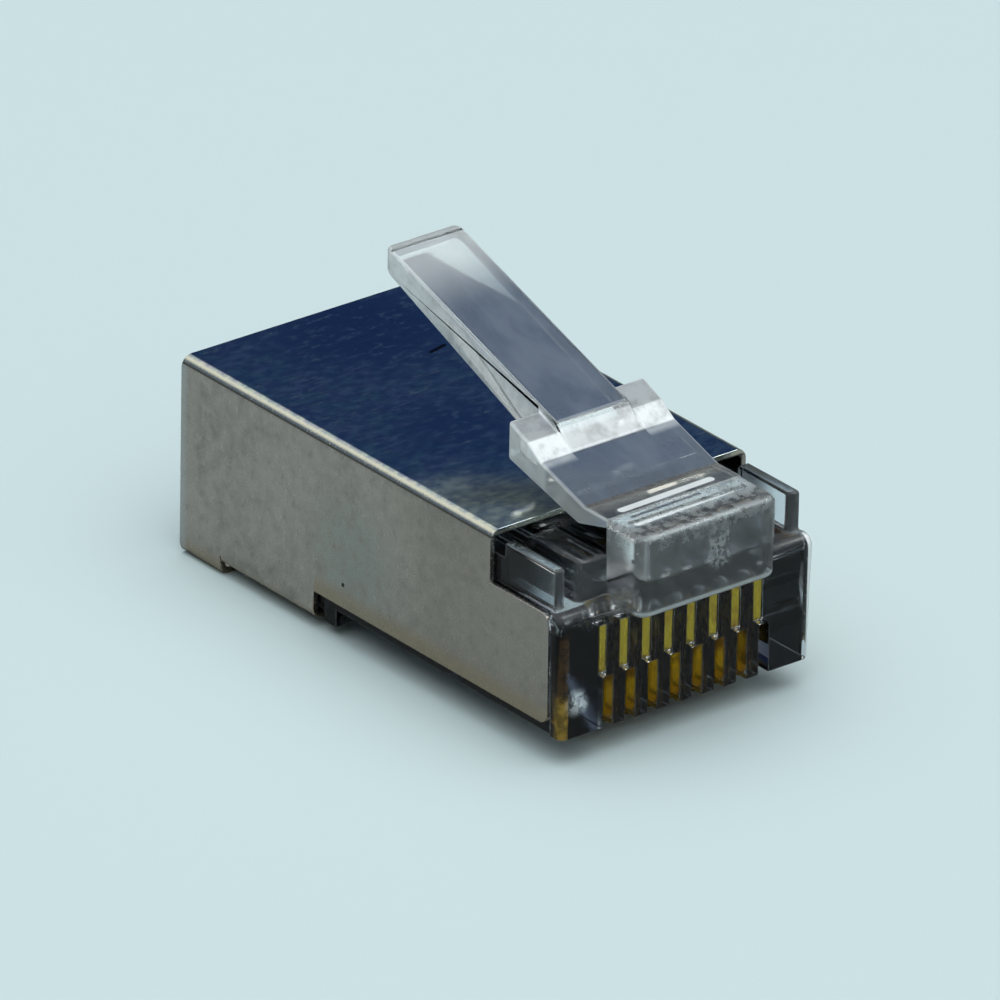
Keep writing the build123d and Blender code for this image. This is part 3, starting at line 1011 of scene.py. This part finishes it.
floor_mesh = bpy.data.meshes.new("floor")
corners = [(x * FLOOR_HALF, y * FLOOR_HALF, 0.0) for x, y in [(-1, -1), (1, -1), (1, 1), (-1, 1)]]
floor_mesh.from_pydata(corners, [], [(0, 1, 2, 3)])
floor_mesh.materials.append(pale_floor())
floor = bpy.data.objects.new("floor", floor_mesh)
bpy.context.scene.collection.objects.link(floor)
print("floor", 2 * FLOOR_HALF, "m wide")

# %% [markdown]
# ## Sky and room
#
# Matt surfaces are lit by a sky that is brightest overhead, which gives the plug a soft, tight
# shadow at its foot. Mirrors and clear plastic see a room instead: a dark blue wall below a
# bright ceiling. That is why the roof looks navy, and, with the fold's painted highlight, why its
# fold looks cream. A picture of a studio could do the same, but a few stops up the wall are
# enough for pieces this plain. The camera sees a pale backdrop of the floor's own colour.

# %% World
SKY = (1.00, 1.03, 1.06)
SKY_LEAN = (-0.08, -0.12, 0.99)
SKY_FALL = 4.0
SKY_LEVEL = 3.12
ROOM = [
    (0.00, (0.20, 0.22, 0.22, 1.0)),
    (0.24, (0.22, 0.24, 0.23, 1.0)),
    (0.33, (0.025, 0.040, 0.080, 1.0)),
    (0.40, (0.030, 0.068, 0.165, 1.0)),
    (0.55, (0.040, 0.085, 0.180, 1.0)),
    (0.63, (1.15, 1.10, 0.95, 1.0)),
    (0.72, (1.10, 1.08, 1.00, 1.0)),
    (0.80, (0.45, 0.50, 0.56, 1.0)),
    (1.00, (0.45, 0.50, 0.56, 1.0)),
]
world = bpy.data.worlds.new("studio")
world.use_nodes = True
bpy.context.scene.world = world


def studio_world():
    """Sky light for matt surfaces, a room for mirrors and plastic, a pale backdrop for the camera."""
    shading = Shading(world.node_tree)
    direction = shading.node("TexCoord", {}, {}, "Generated")
    room = shading.node("ValToRGB", {"stops": ROOM}, {0: shading.part(direction, "Z")})
    height = shading.node("VectorMath", {"operation": "DOT_PRODUCT"}, {0: direction, 1: SKY_LEAN}, "Value")
    overhead = height.most(0.0) ** SKY_FALL * SKY_LEVEL
    sky = shading.node("VectorMath", {"operation": "SCALE"}, {0: SKY, "Scale": overhead})
    light = shading.blend(shading.node("LightPath", {}, {}, "Is Glossy Ray"), sky, room)
    light = shading.blend(shading.node("LightPath", {}, {}, "Is Camera Ray"), light, PALE)
    shader = shading.node("Background", {}, {"Color": light, "Strength": 1.0})
    shading.node("OutputWorld", {}, {"Surface": shader})


studio_world()
print("room with", len(ROOM), "stops")

# %% [markdown]
# ## Softbox
#
# A photographer's softbox stands to the right of the plug and gives the bright glints on its
# edges. The sky already lights the matt surfaces, so the lamp is kept to highlights: a second
# shadow beside the plug would be wrong.

# %% Lamp
SOFTBOX_PLACE = (0.20, -0.09, 0.28)
SOFTBOX_SIZE = 0.14
SOFTBOX_POWER = 0.50
SOFTBOX_COLOUR = (1.0, 0.96, 0.88)

lamp_data = bpy.data.lights.new("softbox", "AREA")
lamp_data.shape = "SQUARE"
lamp_data.size = SOFTBOX_SIZE
lamp_data.energy = SOFTBOX_POWER
lamp_data.color = SOFTBOX_COLOUR
softbox = bpy.data.objects.new("softbox", lamp_data)
bpy.context.scene.collection.objects.link(softbox)
softbox.location = SOFTBOX_PLACE
softbox.rotation_euler = (Vector(SOFTBOX_PLACE) - AIM).to_track_quat("Z", "Y").to_euler()
softbox.visible_diffuse = False
print("softbox", SOFTBOX_SIZE, "m wide")

# %% [markdown]
# ## Colours as written
#
# The standard view shows each colour as it is written, without a film's curve.

# %% View settings
bpy.context.scene.view_settings.view_transform = "Standard"
